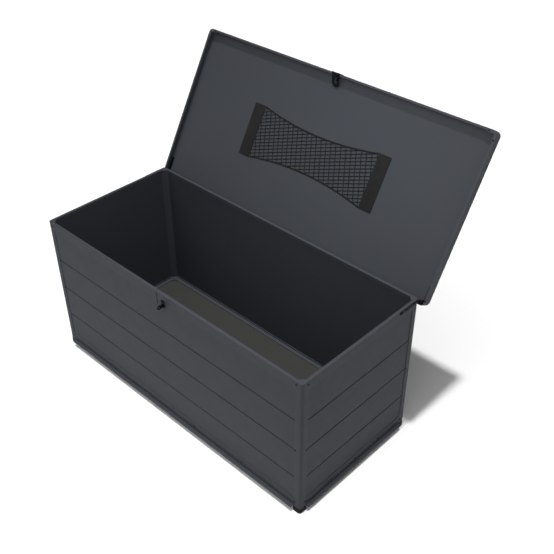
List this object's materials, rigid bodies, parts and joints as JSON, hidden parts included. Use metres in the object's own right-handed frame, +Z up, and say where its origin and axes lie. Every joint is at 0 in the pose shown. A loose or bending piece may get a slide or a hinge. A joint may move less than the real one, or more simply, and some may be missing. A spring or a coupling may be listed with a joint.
{
  "type": "deck storage box",
  "caption": "Long grey steel deck box with ribbed plank-look walls, a tray lid on end hinges, a net organiser under the lid and a hasp for a padlock.",
  "frame": {"origin": "middle of the box's footprint on the ground, on the plane of the four feet", "axes": "+X along the long side, towards the right end seen from the front; -Y towards the front; +Z up"},
  "size_m": [1.33, 0.9368, 1.0998],
  "materials": {
    "panel_paint": "satin powder coat, blue-grey",
    "lid_paint": "satin powder coat, blue-grey",
    "frame_paint": "satin powder coat, blue-grey",
    "floor_sheet": "matt grey",
    "black_steel": "black zinc, semi-matt",
    "black_fasteners": "black zinc, semi-matt",
    "black_plastic": "moulded, fine grain",
    "stop_rubber": "matt",
    "net_cord": "knotted cord",
    "band_webbing": "woven webbing"
  },
  "bodies": {
    "box": {"front_panel": "panel_paint", "rear_panel": "panel_paint", "left_panel": "panel_paint", "right_panel": "panel_paint", "post_front_left": "frame_paint", "post_front_right": "frame_paint", "post_rear_left": "frame_paint", "post_rear_right": "frame_paint", "top_rail_front": "frame_paint", "top_rail_rear": "frame_paint", "top_rail_left": "frame_paint", "top_rail_right": "frame_paint", "bottom_rail_front": "frame_paint", "bottom_rail_rear": "frame_paint", "bottom_rail_left": "frame_paint", "bottom_rail_right": "frame_paint", "cap_front_left": "frame_paint", "cap_front_right": "frame_paint", "cap_rear_left": "frame_paint", "cap_rear_right": "frame_paint", "foot_front_left": "black_plastic", "foot_front_right": "black_plastic", "foot_rear_left": "black_plastic", "foot_rear_right": "black_plastic", "floor_panel": "floor_sheet", "floor_trim_front": "frame_paint", "floor_trim_rear": "frame_paint", "floor_trim_left": "frame_paint", "floor_trim_right": "frame_paint", "floor_corner_plates": "frame_paint", "frame_screws": "black_fasteners", "hinge_leaf_left": "black_steel", "hinge_leaf_right": "black_steel", "hinge_bolts": "black_fasteners", "hinge_pin_left": "black_fasteners", "hinge_pin_right": "black_fasteners", "lid_stops": "stop_rubber", "latch_strap": "frame_paint", "padlock_lug": "black_steel", "latch_rivets": "black_fasteners"},
    "lid": {"lid_panel": "lid_paint", "lid_channel_front": "frame_paint", "lid_channel_rear": "frame_paint", "lid_channel_left": "frame_paint", "lid_channel_right": "frame_paint", "lid_corner_front_left": "frame_paint", "lid_corner_front_right": "frame_paint", "lid_corner_rear_left": "frame_paint", "lid_corner_rear_right": "frame_paint", "hinge_arm_left": "black_steel", "hinge_arm_right": "black_steel", "hinge_arm_bolts": "black_fasteners", "lid_screws": "black_fasteners", "organiser_net": "net_cord", "organiser_band_left": "band_webbing", "organiser_band_right": "band_webbing", "hasp_mount": "black_steel", "hasp_pin": "black_fasteners"},
    "hasp": {"hasp_tongue": "black_steel"}
  },
  "joints": [
    {"name": "lid_hinge", "type": "hinge", "parent": "box", "child": "lid", "pos_m": [0, 0.295, 0.574], "axis": [1, 0, 0], "range_deg": [0, 120]},
    {"name": "hasp_swing", "type": "hinge", "parent": "lid", "child": "hasp", "pos_m": [0, 0.58824, 1.0929], "axis": [1, 0, 0], "range_deg": [-120, 0]}
  ],
  "couplings": [
    {"joint": "hasp_swing", "follows": "lid_hinge", "ratio": -1}
  ]
}
